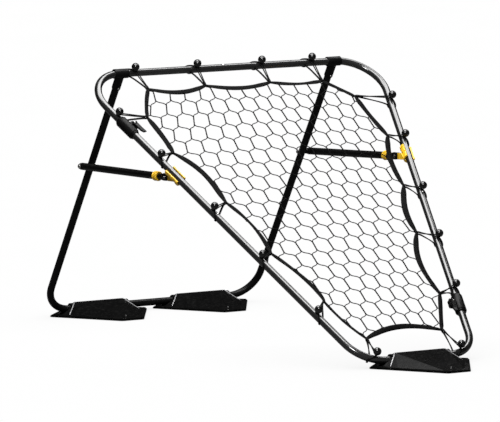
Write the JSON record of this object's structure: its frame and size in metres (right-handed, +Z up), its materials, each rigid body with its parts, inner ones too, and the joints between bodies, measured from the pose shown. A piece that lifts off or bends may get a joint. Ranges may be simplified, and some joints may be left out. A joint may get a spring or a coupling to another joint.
{
  "type": "pitch back rebounder",
  "caption": "Leaning ring frame of black tube with a hexagonal net laced in on bungees, folding rear leg frame, clip-on adjusting arms and broad pivoting feet.",
  "frame": {"origin": "on the floor, under the middle of the whole object set up for use", "axes": "+Z up, X along the bars, a ball arrives from -Y and the leg frame stands at +Y"},
  "size_m": [1.1924, 2.1068, 0.9501],
  "materials": {
    "ring_tube": "gloss dark charcoal powder coat",
    "leg_tube": "satin black powder coat",
    "moulded_black": "moulded black plastic, fine texture",
    "yellow_plastic": "moulded yellow plastic, soft gloss",
    "ball_plastic": "gloss black",
    "elastic_cord": "black woven elastic cord",
    "webbing": "black woven polyester webbing",
    "net_cord": "black knotted twine, hexagonal mesh",
    "zinc_steel": "zinc plated"
  },
  "bodies": {
    "ring": {"top_tube_left": "ring_tube", "top_tube_right": "ring_tube", "side_tube_left": "ring_tube", "side_tube_right": "ring_tube", "bottom_tube": "ring_tube", "frame_sleeve_left": "moulded_black", "frame_sleeve_right": "moulded_black", "clamp_bolts": "zinc_steel", "clamp_pins": "zinc_steel", "clamp_nuts": "zinc_steel", "bungee_balls": "ball_plastic", "bungee_cords": "elastic_cord", "net_border": "webbing", "net_mesh": "net_cord"},
    "lever_left": {"clamp_lever_left": "moulded_black"},
    "lever_right": {"clamp_lever_right": "moulded_black"},
    "top_bar_button": {"top_bar_button": "zinc_steel"},
    "side_button_left": {"side_button_left": "zinc_steel"},
    "side_button_right": {"side_button_right": "zinc_steel"},
    "front_foot": {"front_foot_shell": "moulded_black", "front_foot_base": "moulded_black", "front_foot_screws": "zinc_steel"},
    "legs": {"leg_coupling_left": "moulded_black", "leg_coupling_right": "moulded_black", "leg_tube_left": "leg_tube", "leg_tube_right": "leg_tube", "arm_bolts": "zinc_steel", "arm_nuts": "zinc_steel", "arm_spacers": "moulded_black"},
    "leg_button_left": {"leg_button_left": "zinc_steel"},
    "leg_button_right": {"leg_button_right": "zinc_steel"},
    "rear_bar_button": {"rear_bar_button": "zinc_steel"},
    "rear_foot_left": {"rear_foot_shell_left": "moulded_black", "rear_foot_base_left": "moulded_black", "rear_foot_screws_left": "zinc_steel"},
    "arm_left": {"arm_tube_left": "leg_tube", "arm_end_left": "moulded_black"},
    "collar_left": {"arm_collar_left": "yellow_plastic"},
    "inner_left": {"arm_inner_tube_left": "leg_tube", "arm_fork_left": "moulded_black", "clip_rivet_left": "zinc_steel"},
    "clip_left": {"tube_clip_left": "yellow_plastic"},
    "rear_foot_right": {"rear_foot_shell_right": "moulded_black", "rear_foot_base_right": "moulded_black", "rear_foot_screws_right": "zinc_steel"},
    "arm_right": {"arm_tube_right": "leg_tube", "arm_end_right": "moulded_black"},
    "collar_right": {"arm_collar_right": "yellow_plastic"},
    "inner_right": {"arm_inner_tube_right": "leg_tube", "arm_fork_right": "moulded_black", "clip_rivet_right": "zinc_steel"},
    "clip_right": {"tube_clip_right": "yellow_plastic"}
  },
  "joints": [
    {"name": "leg_fold", "type": "hinge", "parent": "ring", "child": "legs", "pos_m": [0, 0.38666, 0.91392], "axis": [-1, 0, 0], "range_deg": [0, 81.5]},
    {"name": "arm_left_swing", "type": "hinge", "parent": "legs", "child": "arm_left", "pos_m": [-0.4754, 0.59113, 0.57363], "axis": [1, 0, 0], "range_deg": [0, 121.9]},
    {"name": "arm_right_swing", "type": "hinge", "parent": "legs", "child": "arm_right", "pos_m": [0.4754, 0.59113, 0.57363], "axis": [1, 0, 0], "range_deg": [0, 123.8]},
    {"name": "arm_left_slide", "type": "slide", "parent": "arm_left", "child": "inner_left", "axis": [0, 0.9998, -0.0215], "range_m": [0, 0.03]},
    {"name": "arm_right_slide", "type": "slide", "parent": "arm_right", "child": "inner_right", "axis": [0, 0.9985, -0.0542], "range_m": [0, 0.03]},
    {"name": "clip_left_swivel", "type": "hinge", "parent": "inner_left", "child": "clip_left", "pos_m": [-0.4754, 0.02626, 0.58578], "axis": [1, 0, 0], "range_deg": [-40.4, 0]},
    {"name": "clip_right_swivel", "type": "hinge", "parent": "inner_right", "child": "clip_right", "pos_m": [0.4754, 0.02696, 0.60423], "axis": [1, 0, 0], "range_deg": [-42.3, 0]},
    {"name": "collar_left_twist", "type": "hinge", "parent": "arm_left", "child": "collar_left", "pos_m": [-0.4754, 0.08324, 0.58456], "axis": [0, -0.9998, 0.0215], "range_deg": [0, 90]},
    {"name": "collar_right_twist", "type": "hinge", "parent": "arm_right", "child": "collar_right", "pos_m": [0.4754, 0.08387, 0.60114], "axis": [0, -0.9985, 0.0542], "range_deg": [0, 90]},
    {"name": "rear_foot_left_turn", "type": "hinge", "parent": "legs", "child": "rear_foot_left", "pos_m": [-0.215, 0.92138, 0.024], "axis": [-1, 0, 0], "range_deg": [0, 59.2]},
    {"name": "rear_foot_right_turn", "type": "hinge", "parent": "legs", "child": "rear_foot_right", "pos_m": [0.215, 0.92138, 0.024], "axis": [-1, 0, 0], "range_deg": [0, 59.2]},
    {"name": "front_foot_turn", "type": "hinge", "parent": "ring", "child": "front_foot", "pos_m": [0, -0.81338, 0.024], "axis": [1, 0, 0], "range_deg": [-20, 36]},
    {"name": "lever_left_swing", "type": "hinge", "parent": "ring", "child": "lever_left", "pos_m": [-0.52333, 0.161, 0.76526], "axis": [-0.9665, -0.2063, -0.153], "range_deg": [0, 100]},
    {"name": "lever_right_swing", "type": "hinge", "parent": "ring", "child": "lever_right", "pos_m": [0.26159, -0.63018, 0.17853], "axis": [-0.9665, 0.2063, 0.153], "range_deg": [0, 100]},
    {"name": "top_bar_button_press", "type": "slide", "parent": "ring", "child": "top_bar_button", "axis": [0, 0.5957, -0.8032], "range_m": [0, 0.003], "stiffness_N_per_m": 800},
    {"name": "side_button_left_press", "type": "slide", "parent": "ring", "child": "side_button_left", "axis": [0, 0.5957, -0.8032], "range_m": [0, 0.003], "stiffness_N_per_m": 800},
    {"name": "side_button_right_press", "type": "slide", "parent": "ring", "child": "side_button_right", "axis": [0, 0.5957, -0.8032], "range_m": [0, 0.003], "stiffness_N_per_m": 800},
    {"name": "leg_button_left_press", "type": "slide", "parent": "legs", "child": "leg_button_left", "axis": [0, 0.8572, 0.515], "range_m": [0, 0.003], "stiffness_N_per_m": 800},
    {"name": "leg_button_right_press", "type": "slide", "parent": "legs", "child": "leg_button_right", "axis": [0, 0.8572, 0.515], "range_m": [0, 0.003], "stiffness_N_per_m": 800},
    {"name": "rear_bar_button_press", "type": "slide", "parent": "legs", "child": "rear_bar_button", "axis": [0, -0.8572, -0.515], "range_m": [0, 0.003], "stiffness_N_per_m": 800}
  ],
  "couplings": [
    {"joint": "arm_left_swing", "follows": "leg_fold", "ratio": 1.4936},
    {"joint": "clip_left_swivel", "follows": "leg_fold", "ratio": -0.4936},
    {"joint": "rear_foot_left_turn", "follows": "leg_fold", "ratio": 0.724},
    {"joint": "arm_right_swing", "follows": "leg_fold", "ratio": 1.5166},
    {"joint": "clip_right_swivel", "follows": "leg_fold", "ratio": -0.5166},
    {"joint": "rear_foot_right_turn", "follows": "leg_fold", "ratio": 0.724}
  ]
}
